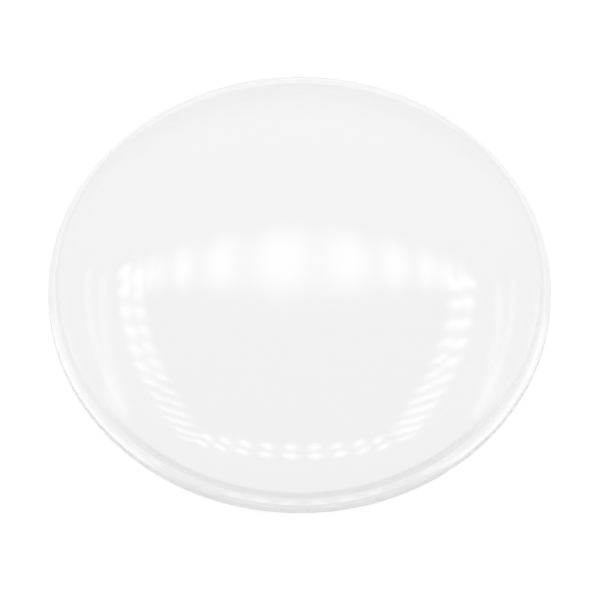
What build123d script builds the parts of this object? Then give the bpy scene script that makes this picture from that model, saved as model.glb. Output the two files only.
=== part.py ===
from build123d import *
import os
from math import cos, radians, sin

# A domed watch crystal, pressed and polished in one piece of clear acrylic sheet.
# The origin is the centre of the seat, the flat ring that the crystal stands on. +Z is up, towards the crown.
# All lengths are in millimetres and all angles in degrees.

# Driving dimensions of the rim
rim_diameter = 37.4  # largest diameter, the size that the bezel grips
rim_land_height = 0.7  # upright band at the foot of the rim
bevel_height = 0.8  # leaning band between the land and the shoulder edge
bevel_inset = 0.65  # how far the bevel leans in over its height

# Driving dimensions of the hollow underneath
foot_width = 0.75  # seat, from the rim to the edge of the vault
crown_thickness = 1.25  # wall at the centre of the crown

# Small edges left by turning and polishing
shoulder_edge_radius = 0.14
rim_chamfer = 0.08

# The crown above and the vault below are each three arcs in one smooth line, from the axis out.
# An arc ends at its share of the dome's radius, and its angle is how steeply the dome falls there.
# The vault's third arc runs on from the second and ends at the seat, so its angle follows from that.
crown_arc_shares = (0.51, 0.785, 1)
crown_arc_angles = (3.7, 12.4, 34.5)
vault_arc_shares = (0.55, 0.78)
vault_arc_angles = (3.7, 17.5)


def dome_arcs(dome_radius, arc_shares, arc_angles):
    """Radius, start angle and end angle of each arc of a dome's section, from the axis out."""
    arcs = []
    start_share, start_angle = 0, 0
    for end_share, end_angle in zip(arc_shares, arc_angles):
        run = (end_share - start_share) * dome_radius
        arc_radius = run / (sin(radians(end_angle)) - sin(radians(start_angle)))
        arcs.append((arc_radius, start_angle, end_angle))
        start_share, start_angle = end_share, end_angle
    return arcs


def dome_rise(arcs):
    """Height of a dome, from its edge to the top."""
    return sum(arc_radius * (cos(radians(start)) - cos(radians(end))) for arc_radius, start, end in arcs)


def draw_dome(arcs, top_height):
    """Draw a dome's section from the axis out, each arc tangent to the last, and return the last one."""
    place, direction = (0, top_height), (1, 0)
    for arc_radius, start_angle, end_angle in arcs:
        arc = JernArc(start=place, tangent=direction, radius=arc_radius, arc_size=start_angle - end_angle)
        place, direction = arc @ 1, arc % 1
    return arc


def ring_edge(part, radius, height):
    """The circular edge of the part that lies nearest to this radius and height."""
    rings = part.edges().filter_by(GeomType.CIRCLE)
    rings = rings.filter_by(lambda edge: edge.is_closed)
    return min(rings, key=lambda edge: abs(edge.radius - radius) + abs(edge.arc_center.Z - height))


# Places worked out from the driving dimensions
rim_radius = rim_diameter / 2
shoulder_radius = rim_radius - bevel_inset
shoulder_height = rim_land_height + bevel_height
crown_arcs = dome_arcs(shoulder_radius, crown_arc_shares, crown_arc_angles)
crystal_height = shoulder_height + dome_rise(crown_arcs)
cavity_radius = rim_radius - foot_width
vault_arcs = dome_arcs(cavity_radius, vault_arc_shares, vault_arc_angles)
vault_height = crystal_height - crown_thickness

with BuildPart() as crystal:
    # Solid dome: crown, bevel, land and seat
    with BuildSketch(Plane.XZ):
        with BuildLine():
            crown_edge = draw_dome(crown_arcs, crystal_height) @ 1
            Polyline(crown_edge, (rim_radius, rim_land_height), (rim_radius, 0), (0, 0), (0, crystal_height))
        make_face()
    revolve(axis=Axis.Z)

    # Hollow underneath, down to the inner edge of the seat
    with BuildSketch(Plane.XZ):
        with BuildLine():
            inner_arc = draw_dome(vault_arcs, vault_height)
            edge_arc = TangentArc(inner_arc @ 1, (cavity_radius, 0), tangent=inner_arc % 1)
            Polyline(edge_arc @ 1, (0, 0), (0, vault_height))
        make_face()
    revolve(axis=Axis.Z, mode=Mode.SUBTRACT)

    # Polished shoulder, and the broken edge at the foot of the rim
    fillet(ring_edge(crystal.part, shoulder_radius, shoulder_height), radius=shoulder_edge_radius)
    chamfer(ring_edge(crystal.part, rim_radius, 0), length=rim_chamfer)

os.makedirs("parts", exist_ok=True)
crystal.part.label = "crystal"
export_step(crystal.part, "parts/crystal.step")
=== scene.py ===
import logging
from dataclasses import dataclass, field
from enum import Enum
from math import atan2, ceil, cos, pi, radians, sin, tan

import bpy
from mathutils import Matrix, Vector


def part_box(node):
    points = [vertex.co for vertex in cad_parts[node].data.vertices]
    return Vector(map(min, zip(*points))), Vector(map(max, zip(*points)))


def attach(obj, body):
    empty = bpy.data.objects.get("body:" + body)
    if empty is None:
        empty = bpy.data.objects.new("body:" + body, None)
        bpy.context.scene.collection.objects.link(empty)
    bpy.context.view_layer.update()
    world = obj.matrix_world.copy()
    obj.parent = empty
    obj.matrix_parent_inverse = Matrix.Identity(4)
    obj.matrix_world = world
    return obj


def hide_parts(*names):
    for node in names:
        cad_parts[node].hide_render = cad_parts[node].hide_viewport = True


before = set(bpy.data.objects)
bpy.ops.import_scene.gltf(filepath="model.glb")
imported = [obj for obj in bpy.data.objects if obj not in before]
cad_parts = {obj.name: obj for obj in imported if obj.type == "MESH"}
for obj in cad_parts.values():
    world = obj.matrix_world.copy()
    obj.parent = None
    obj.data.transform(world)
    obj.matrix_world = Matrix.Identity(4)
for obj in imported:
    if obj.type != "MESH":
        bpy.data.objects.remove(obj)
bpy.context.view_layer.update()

LOG = logging.getLogger("watch_crystal")
MM = 0.001  # one millimetre, in metres
CAD_NODE = "crystal"
BODY = "root"
SRGB_FOOT, SRGB_SLOPE, SRGB_OFFSET, SRGB_POWER = 0.04045, 12.92, 0.055, 2.4  # the curve of sRGB values
SMOOTH_STEP = {"interpolation_type": "SMOOTHSTEP"}  # a Map Range node that eases in and out
BOUNCES = {  # enough for light that the rim sends round inside itself
    "max_bounces": 24,
    "glossy_bounces": 16,
    "transmission_bounces": 24,
    "transparent_max_bounces": 16,
}

Point = tuple[float, float]
Place = tuple[float, float, float]  # X, Y and Z
Span = tuple[float, float]  # where something starts, and where it ends or is full


def linear(colour: str) -> tuple[float, float, float, float]:
    """Turn an sRGB hex colour into the linear values that a shader takes.

    Args:
        colour: Six hex digits after a hash sign.

    Returns:
        Linear red, green and blue, and an alpha of 1.
    """
    shares = [int(colour[i:i + 2], 16) / 255 for i in (1, 3, 5)]
    red, green, blue = [
        share / SRGB_SLOPE if share <= SRGB_FOOT
        else ((share + SRGB_OFFSET) / (1 + SRGB_OFFSET)) ** SRGB_POWER
        for share in shares]
    return red, green, blue, 1.0


def add_node(tree: bpy.types.NodeTree, kind: str, settings: dict | None = None,
             inputs: dict | None = None) -> bpy.types.Node:
    """Add a node to a tree, with its settings and what feeds its sockets.

    Args:
        tree: The node tree that takes the node.
        kind: Blender's name for the kind of node.
        settings: Values for the node's own properties.
        inputs: A value or an output socket for each input, by the input's name or index.

    Returns:
        The new node.
    """
    node = tree.nodes.new(kind)
    for name, value in (settings or {}).items():
        setattr(node, name, value)
    for key, value in (inputs or {}).items():
        if isinstance(value, bpy.types.NodeSocket):
            tree.links.new(value, node.inputs[key])
        else:
            node.inputs[key].default_value = value
    return node


def empty_tree(owner: bpy.types.Material | bpy.types.World) -> bpy.types.NodeTree:
    """Turn on the nodes of a material or a world, without the ones that come with it.

    Args:
        owner: The material or the world.

    Returns:
        Its node tree, cleared.
    """
    owner.use_nodes = True
    owner.node_tree.nodes.clear()
    return owner.node_tree


def add_object(name: str, data: bpy.types.ID) -> bpy.types.Object:
    """Put a mesh, a lamp or a camera into the scene.

    Args:
        name: The object's name.
        data: What it shows.

    Returns:
        The new object, at the origin.
    """
    made = bpy.data.objects.new(name, data)
    bpy.context.scene.collection.objects.link(made)
    return made


def off_axis(tree: bpy.types.NodeTree, place: bpy.types.NodeSocket,
             centre: Place = (0.0, 0.0, 0.0)) -> bpy.types.NodeSocket:
    """Work out how far each place is from an upright line.

    Args:
        tree: The node tree that takes the nodes.
        place: The Object coordinates.
        centre: Where the line meets the seat's plane.

    Returns:
        The distance, whatever the height.
    """
    flat = add_node(tree, "ShaderNodeVectorMath", {"operation": "MULTIPLY"}, {0: place, 1: (1.0, 1.0, 0.0)})
    away = add_node(tree, "ShaderNodeVectorMath", {"operation": "DISTANCE"},
                    {0: flat.outputs[0], 1: centre})
    return away.outputs["Value"]


@dataclass(frozen=True)
class Dome:
    """Half of a dome's section: level on the axis and falling at a set slope at its edge.

    A flat share is the part of the radius over which the top stays almost level. A lift share is the
    part of the rise that the tangent at the edge takes up.
    """

    edge_radius: float
    edge_height: float
    top_height: float
    edge_slope: float
    flat_share: float
    lift_share: float

    def points(self, count: int) -> list[Point]:
        """Walk the section from the axis out to the edge.

        Args:
            count: Number of steps from the axis to the edge.

        Returns:
            Radius and height of each point, the axis and the edge included.
        """
        lift = (self.top_height - self.edge_height) * self.lift_share
        corners = (
            (0.0, self.top_height),
            (self.edge_radius * self.flat_share, self.top_height),
            (self.edge_radius - lift / tan(radians(self.edge_slope)), self.edge_height + lift),
            (self.edge_radius, self.edge_height),
        )
        line = []
        for step in range(count + 1):
            t = step / count
            weights = ((1 - t) ** 3, 3 * (1 - t) ** 2 * t, 3 * (1 - t) * t ** 2, t ** 3)
            line.append(tuple(sum(w * c[axis] for w, c in zip(weights, corners)) for axis in (0, 1)))
        return line


def rounded(before: Point, corner: Point, after: Point, radius: float, steps: int) -> list[Point]:
    """Round one corner of a section with an arc tangent to both of its sides.

    Args:
        before: A point on the side that arrives at the corner.
        corner: The corner itself.
        after: A point on the side that leaves the corner.
        radius: Radius of the arc.
        steps: Number of steps along the arc.

    Returns:
        The points of the arc, in order.
    """
    place = Vector(corner)
    arrive = (Vector(corner) - Vector(before)).normalized()
    leave = (Vector(after) - Vector(corner)).normalized()
    turn = arrive.angle_signed(leave)
    reach = radius * tan(abs(turn) / 2)
    start = place - arrive * reach
    side = Vector((-arrive.y, arrive.x)) * (-1 if turn > 0 else 1)
    centre = start + side * radius
    heading = atan2(start.y - centre.y, start.x - centre.x)
    angles = [heading - turn * step / steps for step in range(steps + 1)]
    return [(centre.x + radius * cos(angle), centre.y + radius * sin(angle)) for angle in angles]


@dataclass
class CrystalSection:
    """The crystal's section, from the top of the crown round the rim to the top of the vault.

    Lengths are in metres and slopes in degrees.
    """

    rim_radius: float
    height: float
    land_height: float = 0.7 * MM
    bevel_height: float = 0.8 * MM
    bevel_inset: float = 0.65 * MM
    foot_width: float = 0.75 * MM
    wall: float = 1.25 * MM
    crown_slope: float = 34.5
    crown_flat_share: float = 0.65
    crown_lift_share: float = 0.69
    vault_slope: float = 31.0
    vault_flat_share: float = 0.658
    vault_lift_share: float = 0.786
    shoulder_edge_radius: float = 0.14 * MM
    land_edge_radius: float = 0.12 * MM
    rim_edge_radius: float = 0.08 * MM
    foot_edge_radius: float = 0.1 * MM
    dome_steps: int = 60
    edge_steps: int = 6
    band_step: float = 0.12 * MM
    fewest_bands: int = 2

    def crown(self) -> Dome:
        """The outer dome."""
        return Dome(self.rim_radius - self.bevel_inset, self.land_height + self.bevel_height, self.height,
                    self.crown_slope, self.crown_flat_share, self.crown_lift_share)

    def vault(self) -> Dome:
        """The hollow's dome."""
        return Dome(self.rim_radius - self.foot_width, 0.0, self.height - self.wall,
                    self.vault_slope, self.vault_flat_share, self.vault_lift_share)

    def points(self) -> list[Point]:
        """Walk the whole section, with its edges rounded and its flats divided.

        Returns:
            Radius and height of each point, from the top of the crown to the top of the vault.
        """
        crown = self.crown().points(self.dome_steps)
        vault = self.vault().points(self.dome_steps)[::-1]
        rim = self.rim_radius
        corners = [
            (crown[-1], self.shoulder_edge_radius),
            ((rim, self.land_height), self.land_edge_radius),
            ((rim, 0.0), self.rim_edge_radius),
            (vault[0], self.foot_edge_radius),
        ]
        places = [crown[-2]] + [place for place, _ in corners] + [vault[1]]
        line = crown[:-1]
        for index, (place, radius) in enumerate(corners):
            arc = rounded(places[index], place, places[index + 2], radius, self.edge_steps)
            line += self.divided(line[-1], arc[0])[:-1] if index else []
            line += arc
        return line + [place for place in vault[1:] if place[0] < line[-1][0]]

    def divided(self, start: Point, end: Point) -> list[Point]:
        """Divide a flat run into bands of about one step.

        Args:
            start: Where the run starts.
            end: Where it ends.

        Returns:
            The points of the run, without the first.
        """
        run = Vector(end) - Vector(start)
        count = max(self.fewest_bands, ceil(run.length / self.band_step))
        return [tuple(Vector(start) + run * (step / count)) for step in range(1, count + 1)]


def lathe_tree() -> bpy.types.NodeTree:
    """Build the node tree that turns a section about the Z axis into a closed solid surface.

    The section is a mesh whose vertices follow each other from pole to pole in the XZ plane.

    Returns:
        The Geometry Nodes tree, with its sizes as named inputs.
    """
    tree = bpy.data.node_groups.new("lathe", "GeometryNodeTree")
    sizes = {"Section": "Geometry", "Segments": "Int", "Weld Distance": "Float", "Finish": "Material"}
    for name, kind in sizes.items():
        tree.interface.new_socket(name, in_out="INPUT", socket_type=f"NodeSocket{kind}")
    tree.interface.new_socket("Solid", in_out="OUTPUT", socket_type="NodeSocketGeometry")
    given = add_node(tree, "NodeGroupInput").outputs
    rings = add_node(tree, "GeometryNodeAttributeDomainSize", {"component": "MESH"},
                     {"Geometry": given["Section"]})
    columns = add_node(tree, "ShaderNodeMath", {"operation": "ADD"}, {0: given["Segments"], 1: 1})
    grid = add_node(tree, "GeometryNodeMeshGrid", None,
                    {"Vertices X": rings.outputs["Point Count"], "Vertices Y": columns.outputs[0]})
    index = add_node(tree, "GeometryNodeInputIndex").outputs[0]
    ratio = add_node(tree, "ShaderNodeMath", {"operation": "DIVIDE"}, {0: index, 1: columns.outputs[0]})
    ring = add_node(tree, "ShaderNodeMath", {"operation": "FLOOR"}, {0: ratio.outputs[0]})
    column = add_node(tree, "ShaderNodeMath", {"operation": "FLOORED_MODULO"},
                      {0: index, 1: columns.outputs[0]})
    place = add_node(tree, "GeometryNodeInputPosition").outputs[0]
    point = add_node(tree, "GeometryNodeSampleIndex", {"data_type": "FLOAT_VECTOR", "domain": "POINT"},
                     {"Geometry": given["Section"], "Value": place, "Index": ring.outputs[0]})
    turn = add_node(tree, "ShaderNodeMath", {"operation": "DIVIDE"},
                    {0: column.outputs[0], 1: given["Segments"]})
    angle = add_node(tree, "ShaderNodeMath", {"operation": "MULTIPLY"}, {0: turn.outputs[0], 1: 2 * pi})
    turned = add_node(tree, "ShaderNodeVectorRotate", {"rotation_type": "Z_AXIS"},
                      {"Vector": point.outputs["Value"], "Angle": angle.outputs[0]})
    shaped = add_node(tree, "GeometryNodeSetPosition", None,
                      {"Geometry": grid.outputs["Mesh"], "Position": turned.outputs[0]})
    welded = add_node(tree, "GeometryNodeMergeByDistance", None,
                      {"Geometry": shaped.outputs[0], "Distance": given["Weld Distance"]})
    smooth = add_node(tree, "GeometryNodeSetShadeSmooth", None, {"Geometry": welded.outputs[0]})
    real = add_node(tree, "GeometryNodeRealizeInstances", None, {"Geometry": smooth.outputs[0]})
    dressed = add_node(tree, "GeometryNodeSetMaterial", None,
                       {"Geometry": real.outputs[0], "Material": given["Finish"]})
    add_node(tree, "NodeGroupOutput", None, {"Solid": dressed.outputs[0]})
    return tree


@dataclass(frozen=True)
class PolishedAcrylic:
    """Clear acrylic sheet (PMMA), pressed into a dome and polished to a gloss, with a turned rim.

    It is almost colourless, bends light a little less than window glass, and mirrors the lamps sharply. The
    turned edges of the rim, the land and the shoulder, are hardly buffed and look frosted. They are also a
    little greyer, which paints a faint shade along them, over a wider band at the front. A lean is how
    far to the front or the rear a place is, as a share of the land's radius.
    """

    name: str = "polished_acrylic"
    colour: str = "#fefefe"
    ior: float = 1.49
    gloss: float = 0.008  # roughness of the best polished places
    haze: float = 0.03  # roughness where the buffing wheel left a slight haze
    haze_patch: float = 7 * MM  # width of a hazier patch
    haze_noise: Span = (0.35, 0.75)  # the noise where the haze starts and where it is full
    haze_detail: float = 3.0
    shoulder_rough: float = 0.5
    # greyer than the clear acrylic: painted shade along the turned edges
    turned_shade_colour: str = "#fafafa"
    land_inset: float = 0.08 * MM  # how far inside the rim's radius the turned land starts
    land_front_inset: float = 0.22 * MM  # the same at the front, where its upper edge is matt and greyer too, a painted shade on the front of the rim
    land_front_leans: Span = (0.8, 0.92)  # where that edge starts to be matt and is
    land_buffed: float = 0.35  # roughness of the land at the sides
    land_matt: float = 1.0  # the same at the front and the rear
    front_leans: Span = (0.72, 0.95)  # where it turns matt towards the front
    rear_leans: Span = (0.1, 0.5)  # where it turns matt towards the rear
    shoulder_reach: float = 0.24 * MM
    edge_blur: float = 0.08 * MM
    shadow_tint: str = "#f6f6f6"  # what one surface lets through to the ground

    def material(self, section: CrystalSection) -> bpy.types.Material:
        """Make the material.

        Args:
            section: The crystal's section, which says where the turned edges lie.

        Returns:
            The finished node material.
        """
        made = bpy.data.materials.new(self.name)
        tree = empty_tree(made)
        place = add_node(tree, "ShaderNodeTexCoord").outputs["Object"]
        axes = add_node(tree, "ShaderNodeSeparateXYZ", None, {0: place}).outputs
        radius = off_axis(tree, place)
        land_radius = section.rim_radius - self.land_inset
        land = self.land_mask(tree, radius, axes["Y"], land_radius)
        shoulder = self.shoulder_mask(tree, radius, axes["Z"], section.crown())
        turned = add_node(tree, "ShaderNodeMath", {"operation": "MAXIMUM"}, {0: land, 1: shoulder})
        turned_rough = add_node(tree, "ShaderNodeMix", {"data_type": "FLOAT"},
                                {"Factor": land, "A": self.shoulder_rough,
                                 "B": self.land_roughness(tree, axes["Y"], land_radius)})
        rough = add_node(tree, "ShaderNodeMix", {"data_type": "FLOAT"},
                         {"Factor": turned.outputs[0], "A": self.polish(tree, place),
                          "B": turned_rough.outputs["Result"]})
        # the turned edges take the greyer colour, a painted shade
        colour = add_node(tree, "ShaderNodeMix", {"data_type": "RGBA"},
                          {"Factor": turned.outputs[0], 6: linear(self.colour),
                           7: linear(self.turned_shade_colour)})
        glass = add_node(tree, "ShaderNodeBsdfPrincipled", None,
                         {"Base Color": colour.outputs[2], "IOR": self.ior, "Transmission Weight": 1.0,
                          "Roughness": rough.outputs["Result"]})
        rays = add_node(tree, "ShaderNodeLightPath").outputs
        unbent = add_node(tree, "ShaderNodeMath", {"operation": "MAXIMUM"},
                          {0: rays["Is Shadow Ray"], 1: rays["Is Diffuse Ray"]})
        clear = add_node(tree, "ShaderNodeBsdfTransparent", None, {"Color": linear(self.shadow_tint)})
        mixed = add_node(tree, "ShaderNodeMixShader", None,
                         {0: unbent.outputs[0], 1: glass.outputs[0], 2: clear.outputs[0]})
        add_node(tree, "ShaderNodeOutputMaterial", None, {"Surface": mixed.outputs[0]})
        return made

    def polish(self, tree: bpy.types.NodeTree, place: bpy.types.NodeSocket) -> bpy.types.NodeSocket:
        """Spread the slight haze in patches over the polished faces.

        Args:
            tree: The material's node tree.
            place: The Object coordinates.

        Returns:
            The roughness of the polished faces.
        """
        patches = add_node(tree, "ShaderNodeTexNoise", None,
                           {"Vector": place, "Scale": 1 / self.haze_patch, "Detail": self.haze_detail})
        clearest, haziest = self.haze_noise
        return add_node(tree, "ShaderNodeMapRange", None,
                        {"Value": patches.outputs["Fac"], "From Min": clearest, "From Max": haziest,
                         "To Min": self.gloss, "To Max": self.haze}).outputs[0]

    def land_mask(self, tree: bpy.types.NodeTree, radius: bpy.types.NodeSocket,
                  along_y: bpy.types.NodeSocket, land_radius: float) -> bpy.types.NodeSocket:
        """Find the turned land, which takes in its upper edge at the front.

        Args:
            tree: The material's node tree.
            radius: The distance from the axis.
            along_y: The Object coordinates' Y.
            land_radius: Where the land starts at the sides and the rear.

        Returns:
            A value of 1 on the land and 0 elsewhere, with a soft border.
        """
        first, last = [-lean * land_radius for lean in self.land_front_leans]
        front_radius = land_radius + self.land_inset - self.land_front_inset
        start = add_node(tree, "ShaderNodeMapRange", SMOOTH_STEP,
                         {"Value": along_y, "From Min": first, "From Max": last,
                          "To Min": land_radius, "To Max": front_radius})
        outside = add_node(tree, "ShaderNodeMath", {"operation": "SUBTRACT"},
                           {0: radius, 1: start.outputs[0]})
        return add_node(tree, "ShaderNodeMapRange", SMOOTH_STEP,
                        {"Value": outside.outputs[0], "From Min": 0.0,
                         "From Max": self.edge_blur}).outputs[0]

    def shoulder_mask(self, tree: bpy.types.NodeTree, radius: bpy.types.NodeSocket,
                      height: bpy.types.NodeSocket, crown: Dome) -> bpy.types.NodeSocket:
        """Find the turned shoulder, where the bevel meets the crown.

        Args:
            tree: The material's node tree.
            radius: The distance from the axis.
            height: The Object coordinates' Z.
            crown: The outer dome, which ends at the shoulder.

        Returns:
            A value of 1 on the shoulder and 0 elsewhere, with a soft border.
        """
        section = add_node(tree, "ShaderNodeCombineXYZ", None, {"X": radius, "Y": height})
        away = add_node(tree, "ShaderNodeVectorMath", {"operation": "DISTANCE"},
                        {0: section.outputs[0], 1: (crown.edge_radius, crown.edge_height, 0.0)})
        return add_node(tree, "ShaderNodeMapRange", SMOOTH_STEP,
                        {"Value": away.outputs["Value"], "From Min": self.shoulder_reach,
                         "From Max": self.shoulder_reach - self.edge_blur}).outputs[0]

    def land_roughness(self, tree: bpy.types.NodeTree, along_y: bpy.types.NodeSocket,
                       land_radius: float) -> bpy.types.NodeSocket:
        """Turn the land from buffed at the sides to matt at the front and the rear.

        Args:
            tree: The material's node tree.
            along_y: The Object coordinates' Y.
            land_radius: The radius that a lean is a share of.

        Returns:
            The roughness of the land.
        """
        front, rear = [
            add_node(tree, "ShaderNodeMapRange", SMOOTH_STEP,
                     {"Value": along_y, "From Min": sign * first * land_radius,
                      "From Max": sign * last * land_radius,
                      "To Min": self.land_buffed, "To Max": self.land_matt}).outputs[0]
            for sign, (first, last) in ((-1, self.front_leans), (1, self.rear_leans))]
        return add_node(tree, "ShaderNodeMath", {"operation": "MAXIMUM"}, {0: front, 1: rear}).outputs[0]


@dataclass
class WatchCrystal:
    """The one piece that the part is: crown, bevelled rim, foot and the hollow underneath."""

    name: str = "domed_crystal"
    segments: int = 360
    weld_distance: float = 0.0001 * MM
    finish: PolishedAcrylic = field(default_factory=PolishedAcrylic)

    def section(self) -> CrystalSection:
        """Take the rim's radius and the height from the CAD node's box."""
        low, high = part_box(CAD_NODE)
        return CrystalSection(rim_radius=(high.x - low.x) / 2, height=high.z)

    def build(self) -> bpy.types.Object:
        """Turn the section on the lathe tree and keep the result as a plain mesh.

        Returns:
            The crystal's object, standing for the CAD node.
        """
        section = self.section()
        points = section.points()
        line = bpy.data.meshes.new("crystal_section")
        line.from_pydata([(radius, 0.0, height) for radius, height in points],
                         [(index, index + 1) for index in range(len(points) - 1)], [])
        piece = add_object(self.name, line)
        tree = lathe_tree()
        lathe = piece.modifiers.new("lathe", "NODES")
        lathe.node_group = tree
        sizes = {"Segments": self.segments, "Weld Distance": self.weld_distance,
                 "Finish": self.finish.material(section)}
        for item in tree.interface.items_tree:
            if item.name in sizes:
                lathe[item.identifier] = sizes[item.name]
        evaluated = piece.evaluated_get(bpy.context.evaluated_depsgraph_get())
        turned = bpy.data.meshes.new_from_object(evaluated)
        piece.modifiers.remove(lathe)
        piece.data = turned
        turned.name = self.name
        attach(piece, BODY)
        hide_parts(CAD_NODE)
        LOG.info("%s: %d rings, %d faces", self.name, len(points), len(turned.polygons))
        return piece


class LampSide(Enum):
    """Where a strip of lamps hangs, as the front view shows it."""

    FRONT = "front"
    REAR = "rear"
    LEFT = "left"
    RIGHT = "right"
    FAR_LEFT = "far_left"
    FAR_RIGHT = "far_right"


class Patch(Enum):
    """What a patch of a lamp strip shows."""

    SPOTS = "spots"
    SPOTS_IN_GLOW = "spots_in_glow"
    GLOW = "glow"


def along(first: float, last: float, pitch: float) -> tuple[float, ...]:
    """Places from the first to about the last, at an even pitch."""
    return tuple(first + pitch * step for step in range(round((last - first) / pitch) + 1))


@dataclass(frozen=True)
class LampStrip:
    """One straight strip of round lamps behind a diffuser: soft spots, with a weaker glow between them.

    The strip runs along X at the front and the rear, and along Y at the sides. Its places are counted
    from the line over the origin.
    """

    side: LampSide
    line: float  # where the strip lies across its run
    places: tuple[float, ...]  # the middle of each spot along the run
    spot_level: float
    glow_level: float
    glow_span: Span
    spot_reach: float  # half the length of a spot, to where it has faded to a third
    strip_reach: float  # the same across the run, for the spots and the glow
    in_glow: float = 1.0  # how bright a spot is, against the others, where the diffuser glows
    faded: float = 2.2  # how many reaches a patch covers on each side
    edge_power: float = 1.5  # 1 fades like a bell, more keeps a flatter top
    layer_gap: float = 0.3 * MM  # height between patches, so that no two lie in one plane

    def runs_along_x(self) -> bool:
        """Whether the strip is at the front or the rear."""
        return self.side in (LampSide.FRONT, LampSide.REAR)

    def corners(self) -> tuple[Point, ...]:
        """List the corners of a patch, wound so that it faces down.

        Returns:
            How far along and across the run each corner lies, from -1 to 1.
        """
        corners = ((-1, -1), (-1, 1), (1, 1), (1, -1))
        return corners if self.runs_along_x() else tuple((run, across) for across, run in corners)

    def patch(self, low: float, high: float, height: float) -> list[Place]:
        """Lay out one patch.

        Args:
            low: Where the patch starts along the run.
            high: Where it ends.
            height: Its height.

        Returns:
            The places of its corners.
        """
        places = []
        for run_end, across_end in self.corners():
            run = high if run_end > 0 else low
            across = self.line + across_end * self.faded * self.strip_reach
            places.append((run, across, height) if self.runs_along_x() else (across, run, height))
        return places

    def mesh(self, height: float) -> bpy.types.Mesh:
        """Make one patch for each spot and a last one for the glow.

        Args:
            height: Height of the lamps over the ground.

        Returns:
            A mesh whose UV map runs from -1 to 1 over each patch.
        """
        reach = self.faded * self.spot_reach
        spans = [(place - reach, place + reach) for place in self.places] + [self.glow_span]
        kinds = [Patch.SPOTS_IN_GLOW if place > self.glow_span[0] else Patch.SPOTS for place in self.places]
        kinds.append(Patch.GLOW)
        lowest = height + list(LampSide).index(self.side) * len(spans) * self.layer_gap
        vertices = [place for layer, (low, high) in enumerate(spans)
                    for place in self.patch(low, high, lowest + layer * self.layer_gap)]
        ends = self.corners()
        count = len(ends)
        faces = [tuple(range(count * layer, count * (layer + 1))) for layer in range(len(spans))]
        mesh = bpy.data.meshes.new(f"{self.side.value}_lamps")
        mesh.from_pydata(vertices, [], faces)
        uv_map = mesh.uv_layers.new(name="patch")
        for index, loop in enumerate(uv_map.data):
            loop.uv = ends[index % count]
        for kind in Patch:
            mesh.materials.append(self.light(kind))
        for polygon, kind in zip(mesh.polygons, kinds):
            polygon.material_index = list(Patch).index(kind)
        return mesh

    def light(self, kind: Patch) -> bpy.types.Material:
        """Make a light that fades to both sides of the strip, and for a spot along the strip too.

        Args:
            kind: What the patch shows.

        Returns:
            An emission material, clear where it has faded.
        """
        levels = {Patch.SPOTS: self.spot_level, Patch.SPOTS_IN_GLOW: self.spot_level * self.in_glow,
                  Patch.GLOW: self.glow_level}
        made = bpy.data.materials.new(f"{self.side.value}_{kind.value}")
        made.cycles.emission_sampling = "NONE"
        tree = empty_tree(made)
        place = add_node(tree, "ShaderNodeUVMap", {"uv_map": "patch"}).outputs[0]
        scale = (0.0 if kind is Patch.GLOW else self.faded, self.faded, 0.0)
        scaled = add_node(tree, "ShaderNodeVectorMath", {"operation": "MULTIPLY"}, {0: place, 1: scale})
        away = scaled.outputs[0]
        square = add_node(tree, "ShaderNodeVectorMath", {"operation": "DOT_PRODUCT"}, {0: away, 1: away})
        steep = add_node(tree, "ShaderNodeMath", {"operation": "POWER"},
                         {0: square.outputs["Value"], 1: self.edge_power})
        fall = add_node(tree, "ShaderNodeMath", {"operation": "MULTIPLY"}, {0: steep.outputs[0], 1: -1.0})
        fade = add_node(tree, "ShaderNodeMath", {"operation": "EXPONENT"}, {0: fall.outputs[0]})
        strength = add_node(tree, "ShaderNodeMath", {"operation": "MULTIPLY"},
                            {0: fade.outputs[0], 1: levels[kind]})
        lit = add_node(tree, "ShaderNodeEmission", None, {"Strength": strength.outputs[0]})
        clear = add_node(tree, "ShaderNodeBsdfTransparent")
        both = add_node(tree, "ShaderNodeAddShader", None, {0: lit.outputs[0], 1: clear.outputs[0]})
        add_node(tree, "ShaderNodeOutputMaterial", None, {"Surface": both.outputs[0]})
        return made


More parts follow.
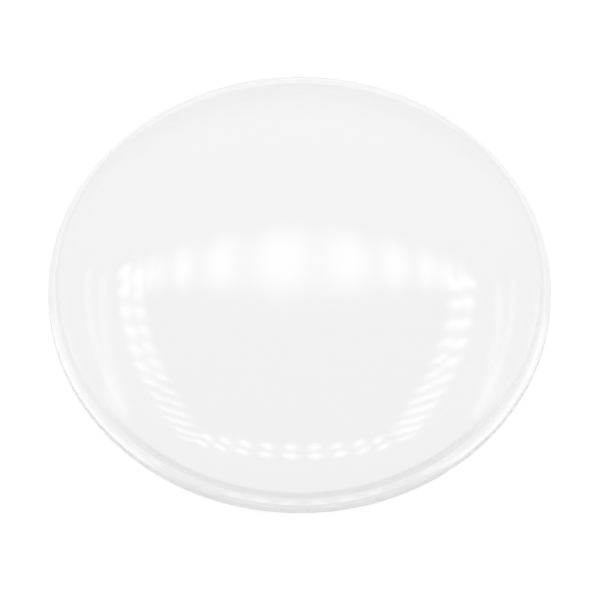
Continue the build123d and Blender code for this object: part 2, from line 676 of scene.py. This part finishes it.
@dataclass
class LampFrame:
    """A rectangle of lamp strips overhead, which the acrylic mirrors in its top and in its underside.

    The strips lie at set lines over the ground. The spots of the rear strip are unevenly spaced.
    """

    height: float = 400 * MM
    left: float = -186 * MM
    right: float = 168 * MM
    front: float = -83 * MM
    rear: float = 242 * MM
    front_places: tuple[float, ...] = along(-153 * MM, 128 * MM, 35 * MM)
    rear_places: tuple[float, ...] = tuple(
        x * MM for x in (-170, -145, -116, -76, -39, -7, 21, 53, 90, 118, 146))
    left_places: tuple[float, ...] = along(-83 * MM, 258 * MM, 31 * MM)
    right_places: tuple[float, ...] = along(-69 * MM, 245 * MM, 31 * MM)
    far_left: float = -385 * MM
    far_right: float = 400 * MM

    def strips(self) -> list[LampStrip]:
        """List the strips.

        Returns:
            The four strips of the rectangle and the two dim ones outside it.
        """
        return [
            LampStrip(LampSide.FRONT, self.front, self.front_places, spot_level=3.0, glow_level=0.2,
                      glow_span=(-162 * MM, 137 * MM), spot_reach=9.5 * MM, strip_reach=15 * MM),
            LampStrip(LampSide.REAR, self.rear, self.rear_places, spot_level=0.82, glow_level=0.42,
                      glow_span=(-186 * MM, 161 * MM), spot_reach=11 * MM, strip_reach=19 * MM),
            LampStrip(LampSide.LEFT, self.left, self.left_places, spot_level=2.2, glow_level=1.0,
                      glow_span=(70 * MM, 267 * MM), spot_reach=9 * MM, strip_reach=21 * MM, in_glow=0.75),
            LampStrip(LampSide.RIGHT, self.right, self.right_places, spot_level=2.2, glow_level=0.5,
                      glow_span=(-84 * MM, 244 * MM), spot_reach=9 * MM, strip_reach=22 * MM),
            LampStrip(LampSide.FAR_LEFT, self.far_left, (), spot_level=0.0, glow_level=0.85,
                      glow_span=(-60 * MM, 330 * MM), spot_reach=15 * MM, strip_reach=36 * MM),
            LampStrip(LampSide.FAR_RIGHT, self.far_right, (), spot_level=0.0, glow_level=0.85,
                      glow_span=(-80 * MM, 310 * MM), spot_reach=15 * MM, strip_reach=36 * MM),
        ]

    def build(self) -> None:
        """Hang the strips. The camera and the ground don't see them, only the acrylic does."""
        for strip in self.strips():
            mesh = strip.mesh(self.height)
            lamp = add_object(mesh.name, mesh)
            lamp.visible_camera = False
            lamp.visible_diffuse = False
            lamp.visible_shadow = False
            LOG.info("%s: %d spots", mesh.name, len(strip.places))


@dataclass(frozen=True)
class BentLight:
    """Light and shade that the rim throws on the ground under itself.

    The shadow rays pass the acrylic unbent, so this stands for what they leave out. Levels are shares of
    the ground's lift, and insets are counted inwards from the rim's radius. A lean is how far to the front
    a place is, as a share of its radius.
    """

    glow_centre: Place = (-0.06 * MM, 0.0, 0.0)
    glow_inset: float = 0.65 * MM
    glow_reach: float = 0.19 * MM
    glow_level: float = 0.8
    glow_side_leans: Span = (0.06, 0.24)  # where the glow starts at the side and is full
    glow_front_leans: Span = (0.84, 0.76)  # the same at the front
    shade_leans: Span = (0.45, 0.95)  # where the shade starts and is full
    shade_inner_inset: float = 1.7 * MM
    shade_outer_inset: float = 0.8 * MM
    shade_blur: float = 0.14 * MM
    shade_level: float = 0.3
    line_inset: float = 1.65 * MM  # the darkest line of the shade, under the shoulder
    line_reach: float = 0.14 * MM
    line_level: float = 0.65

    def share(self, tree: bpy.types.NodeTree, rim_radius: float) -> bpy.types.NodeSocket:
        """Work out how much of the ground's lift is left at each place.

        Args:
            tree: The ground's node tree.
            rim_radius: The crystal's radius.

        Returns:
            A factor for the lift, 1 away from the rim.
        """
        place = add_node(tree, "ShaderNodeTexCoord").outputs["Object"]
        along_y = add_node(tree, "ShaderNodeSeparateXYZ", None, {0: place}).outputs["Y"]
        radius = off_axis(tree, place)
        forward = add_node(tree, "ShaderNodeMath", {"operation": "MULTIPLY"}, {0: along_y, 1: -1.0})
        lean = add_node(tree, "ShaderNodeMath", {"operation": "DIVIDE"},
                        {0: forward.outputs[0], 1: radius}).outputs[0]
        inner = rim_radius - self.shade_inner_inset
        outer = rim_radius - self.shade_outer_inset
        glow_radius = off_axis(tree, place, self.glow_centre)
        glow_off = self.off_ring(tree, glow_radius, rim_radius - self.glow_inset)
        line_off = self.off_ring(tree, radius, rim_radius - self.line_inset)
        parts = (
            self.part(tree, self.glow_level, (glow_off, 2 * self.glow_reach, 0.0),
                      (lean, *self.glow_side_leans), (lean, *self.glow_front_leans)),
            self.part(tree, -self.shade_level, (lean, *self.shade_leans),
                      (radius, inner - self.shade_blur, inner), (radius, outer + self.shade_blur, outer)),
            self.part(tree, -self.line_level, (lean, *self.shade_leans),
                      (line_off, 2 * self.line_reach, 0.0)),
        )
        total = 1.0
        for part in parts:
            total = add_node(tree, "ShaderNodeMath", {"operation": "ADD"}, {0: part, 1: total}).outputs[0]
        return add_node(tree, "ShaderNodeMath", {"operation": "MAXIMUM"}, {0: total, 1: 0.0}).outputs[0]

    def off_ring(self, tree: bpy.types.NodeTree, radius: bpy.types.NodeSocket,
                 middle: float) -> bpy.types.NodeSocket:
        """Work out how far a radius is from a ring's, to either side."""
        off = add_node(tree, "ShaderNodeMath", {"operation": "SUBTRACT"}, {0: radius, 1: middle})
        return add_node(tree, "ShaderNodeMath", {"operation": "ABSOLUTE"}, {0: off.outputs[0]}).outputs[0]

    def part(self, tree: bpy.types.NodeTree, level: float,
             *steps: tuple[bpy.types.NodeSocket, float, float]) -> bpy.types.NodeSocket:
        """Make one part of the light or the shade.

        Args:
            tree: The ground's node tree.
            level: The part's level where it is full.
            steps: What bounds the part: each a value, where the part is 0 and where it is full.

        Returns:
            The level times a smooth step for each bound.
        """
        result = level
        for value, nothing, full in steps:
            step = add_node(tree, "ShaderNodeMapRange", SMOOTH_STEP,
                            {"Value": value, "From Min": nothing, "From Max": full})
            result = add_node(tree, "ShaderNodeMath", {"operation": "MULTIPLY"},
                              {0: step.outputs[0], 1: result}).outputs[0]
        return result


@dataclass
class Studio:
    """The white ground, the light tent round it and the soft box overhead."""

    ground_size: float = 4.0
    ground_gap: float = 0.02 * MM
    ground_colour: str = "#f4f4f4"
    ground_lift: float = 0.15
    tent_opening: float = 0.42  # how bright the acrylic sees the tent inside the lamp frame
    tent_front: float = 0.4
    tent_wall: float = 0.66
    tent_back: float = 0.95
    tent_foot: float = 1.0  # near the ground, at the front and the sides
    tent_back_foot: float = 0.6
    wall_from: Span = (-0.8, 0.2)  # how far back a direction points where the front turns into the wall
    back_from: Span = (0.45, 0.85)  # the same where the wall turns into the back
    foot_from: Span = (0.45, 0.15)  # how far up it points where the foot starts and where it is full
    least_rise: float = 0.01  # of a direction, so that even a level one meets the lamps' plane
    tent_through: float = 0.6  # how far the tent turns white for light that comes through the acrylic
    tent_blend: float = 20 * MM  # how softly the opening meets the wall, in the lamps' plane
    box_power: float = 1.1
    rim_light: BentLight = field(default_factory=BentLight)

    def ground(self, rim_radius: float) -> None:
        """Lay the ground just under the seat.

        Args:
            rim_radius: The crystal's radius, for the light that its rim bends.
        """
        made = bpy.data.materials.new("white_ground")
        tree = empty_tree(made)
        rays = add_node(tree, "ShaderNodeLightPath").outputs
        seen = add_node(tree, "ShaderNodeMath", {"operation": "MAXIMUM"},
                        {0: rays["Is Camera Ray"], 1: rays["Is Glossy Ray"]})
        lift = add_node(tree, "ShaderNodeMath", {"operation": "MAXIMUM"},
                        {0: seen.outputs[0], 1: rays["Is Transmission Ray"]})
        level = add_node(tree, "ShaderNodeMath", {"operation": "MULTIPLY"},
                         {0: self.rim_light.share(tree, rim_radius), 1: self.ground_lift})
        strength = add_node(tree, "ShaderNodeMath", {"operation": "MULTIPLY"},
                            {0: lift.outputs[0], 1: level.outputs[0]})
        paint = add_node(tree, "ShaderNodeBsdfDiffuse", None, {"Color": linear(self.ground_colour)})
        glow = add_node(tree, "ShaderNodeEmission", None, {"Strength": strength.outputs[0]})
        both = add_node(tree, "ShaderNodeAddShader", None, {0: paint.outputs[0], 1: glow.outputs[0]})
        add_node(tree, "ShaderNodeOutputMaterial", None, {"Surface": both.outputs[0]})
        half = self.ground_size / 2
        square = ((-half, -half), (half, -half), (half, half), (-half, half))
        corners = [(x, y, -self.ground_gap) for x, y in square]
        mesh = bpy.data.meshes.new("ground")
        mesh.from_pydata(corners, [], [range(len(corners))])
        mesh.materials.append(made)
        add_object("ground", mesh)

    def tent(self, lamps: LampFrame) -> None:
        """Surround the scene with the tent: white to the camera, and of several greys to the acrylic.

        Args:
            lamps: The lamp frame, whose rectangle is the tent's opening.
        """
        world = bpy.data.worlds.new("light_tent")
        tree = empty_tree(world)
        direction = add_node(tree, "ShaderNodeTexCoord").outputs["Generated"]
        way = add_node(tree, "ShaderNodeSeparateXYZ", None, {0: direction}).outputs
        shade = add_node(tree, "ShaderNodeMix", {"data_type": "FLOAT"},
                         {"Factor": self.opening(tree, way, lamps), "A": self.wall(tree, way),
                          "B": self.tent_opening})
        rays = add_node(tree, "ShaderNodeLightPath").outputs
        through = add_node(tree, "ShaderNodeMath", {"operation": "MULTIPLY"},
                           {0: rays["Is Transmission Ray"], 1: self.tent_through})
        white = add_node(tree, "ShaderNodeMath", {"operation": "MAXIMUM"},
                         {0: through.outputs[0], 1: rays["Is Camera Ray"]})
        strength = add_node(tree, "ShaderNodeMix", {"data_type": "FLOAT"},
                            {"Factor": white.outputs[0], "A": shade.outputs["Result"], "B": 1.0})
        light = add_node(tree, "ShaderNodeBackground", None, {"Strength": strength.outputs["Result"]})
        add_node(tree, "ShaderNodeOutputWorld", None, {"Surface": light.outputs[0]})
        bpy.context.scene.world = world

    def opening(self, tree: bpy.types.NodeTree, way: bpy.types.NodeOutputs,
                lamps: LampFrame) -> bpy.types.NodeSocket:
        """Find the directions that meet the lamps' plane inside the lamp frame.

        Args:
            tree: The world's node tree.
            way: The direction's X, Y and Z sockets.
            lamps: The lamp frame.

        Returns:
            A value of 1 inside the frame and 0 outside, with soft borders.
        """
        rise = add_node(tree, "ShaderNodeMath", {"operation": "MAXIMUM"}, {0: way["Z"], 1: self.least_rise})
        reach = add_node(tree, "ShaderNodeMath", {"operation": "DIVIDE"},
                         {0: lamps.height, 1: rise.outputs[0]})
        right, back = [add_node(tree, "ShaderNodeMath", {"operation": "MULTIPLY"},
                                {0: way[axis], 1: reach.outputs[0]}).outputs[0] for axis in ("X", "Y")]
        blend = self.tent_blend
        rear = lamps.rear - blend  # the opening ends before the rear strip
        borders = ((right, lamps.left, blend), (right, lamps.right, -blend),
                   (back, rear, -blend), (back, lamps.front, blend))
        inside = 1.0
        for place, edge, inwards in borders:
            within = add_node(tree, "ShaderNodeMapRange", SMOOTH_STEP,
                              {"Value": place, "From Min": edge - inwards, "From Max": edge + inwards})
            inside = add_node(tree, "ShaderNodeMath", {"operation": "MULTIPLY"},
                              {0: within.outputs[0], 1: inside}).outputs[0]
        return inside

    def wall(self, tree: bpy.types.NodeTree, way: bpy.types.NodeOutputs) -> bpy.types.NodeSocket:
        """Shade the tent outside its opening, from the front over the sides to the back, and at its foot.

        Args:
            tree: The world's node tree.
            way: The direction's X, Y and Z sockets.

        Returns:
            The level in each direction.
        """
        front, side = self.wall_from
        wall = add_node(tree, "ShaderNodeMapRange", SMOOTH_STEP,
                        {"Value": way["Y"], "From Min": front, "From Max": side,
                         "To Min": self.tent_front, "To Max": self.tent_wall})
        behind, low = [
            add_node(tree, "ShaderNodeMapRange", SMOOTH_STEP,
                     {"Value": way[axis], "From Min": first, "From Max": last}).outputs[0]
            for axis, (first, last) in (("Y", self.back_from), ("Z", self.foot_from))]
        upper = add_node(tree, "ShaderNodeMix", {"data_type": "FLOAT"},
                         {"Factor": behind, "A": wall.outputs[0], "B": self.tent_back})
        foot = add_node(tree, "ShaderNodeMix", {"data_type": "FLOAT"},
                        {"Factor": behind, "A": self.tent_foot, "B": self.tent_back_foot})
        return add_node(tree, "ShaderNodeMix", {"data_type": "FLOAT"},
                        {"Factor": low, "A": upper.outputs["Result"],
                         "B": foot.outputs["Result"]}).outputs["Result"]

    def soft_box(self, lamps: LampFrame) -> None:
        """Hang one broad soft lamp inside the lamp frame, which lights the ground alone.

        Args:
            lamps: The lamp frame.
        """
        data = bpy.data.lights.new("soft_box", "AREA")
        data.shape = "RECTANGLE"
        data.size, data.size_y = lamps.right - lamps.left, lamps.rear - lamps.front
        data.energy = self.box_power
        lamp = add_object("soft_box", data)
        lamp.location = ((lamps.right + lamps.left) / 2, (lamps.rear + lamps.front) / 2, lamps.height)
        lamp.visible_camera = False
        lamp.visible_glossy = False
        lamp.visible_transmission = False


@dataclass
class PhotoCamera:
    """A long lens that looks down at the crystal from in front."""

    elevation: float = 59.6
    distance: float = 450 * MM
    sensor: float = 36.0
    frame_px: float = 600.0
    half_width_px: float = 251.0  # of the rim
    aim_right: float = 0.028 * MM
    aim_down: float = 0.563 * MM
    nearest: float = 10 * MM  # the camera sees nothing closer
    farthest: float = 10.0

    def build(self, rim_radius: float) -> None:
        """Place the camera.

        Args:
            rim_radius: The crystal's radius, which spans half_width_px in the frame.
        """
        data = bpy.data.cameras.new("photo_camera")
        data.sensor_width = self.sensor
        data.lens = self.sensor * (self.half_width_px / self.frame_px) * self.distance / rim_radius
        data.clip_start, data.clip_end = self.nearest, self.farthest
        camera = add_object("photo_camera", data)
        tilt = radians(self.elevation)
        back = Vector((0, -cos(tilt), sin(tilt)))
        up = Vector((0, sin(tilt), cos(tilt)))
        aim = Vector((self.aim_right, 0, 0)) - up * self.aim_down
        camera.location = aim + back * self.distance
        camera.rotation_euler = (-back).to_track_quat("-Z", "Y").to_euler()
        bpy.context.scene.camera = camera


def main() -> None:
    """Build the crystal, then the studio round it."""
    logging.basicConfig(level=logging.INFO, format="%(name)s: %(message)s")
    scene = bpy.context.scene
    scene.view_settings.view_transform = "Standard"
    for name, count in BOUNCES.items():
        setattr(scene.cycles, name, count)
    crystal = WatchCrystal()
    crystal.build()
    rim_radius = crystal.section().rim_radius
    lamps = LampFrame()
    lamps.build()
    studio = Studio()
    studio.ground(rim_radius)
    studio.tent(lamps)
    studio.soft_box(lamps)
    PhotoCamera().build(rim_radius)


if __name__ == "__main__":
    main()
